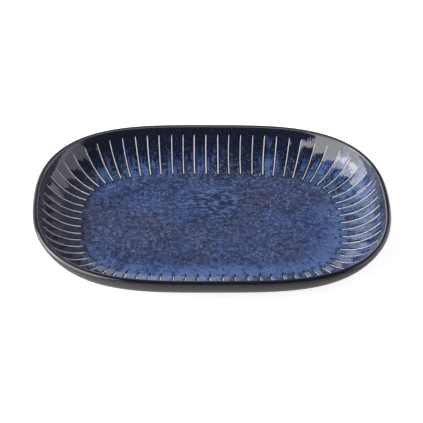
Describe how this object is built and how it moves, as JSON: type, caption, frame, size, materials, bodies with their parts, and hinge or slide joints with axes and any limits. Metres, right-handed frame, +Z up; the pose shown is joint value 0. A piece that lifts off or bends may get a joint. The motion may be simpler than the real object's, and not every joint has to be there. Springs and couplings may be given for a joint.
{
  "type": "serving plate",
  "caption": "Oval stoneware serving plate with a curved wall, a glossy blue inside cut by pale radial lines, a matt charcoal outside and a foot ring.",
  "frame": {"origin": "middle of the plate on the surface it stands on", "axes": "+X along the plate's length, +Y across its width, +Z up out of the well"},
  "size_m": [0.2846, 0.2046, 0.034],
  "materials": {
    "clay": "bare pale stoneware",
    "foot_clay": "bare stoneware, worn by use",
    "blue_glaze": "gloss reactive glaze",
    "charcoal_glaze": "matt glaze"
  },
  "bodies": {
    "root": {"clay_body": "clay", "foot_ring": "foot_clay", "inner_glaze": "blue_glaze", "outer_glaze": "charcoal_glaze", "base_glaze": "charcoal_glaze"}
  },
  "joints": []
}
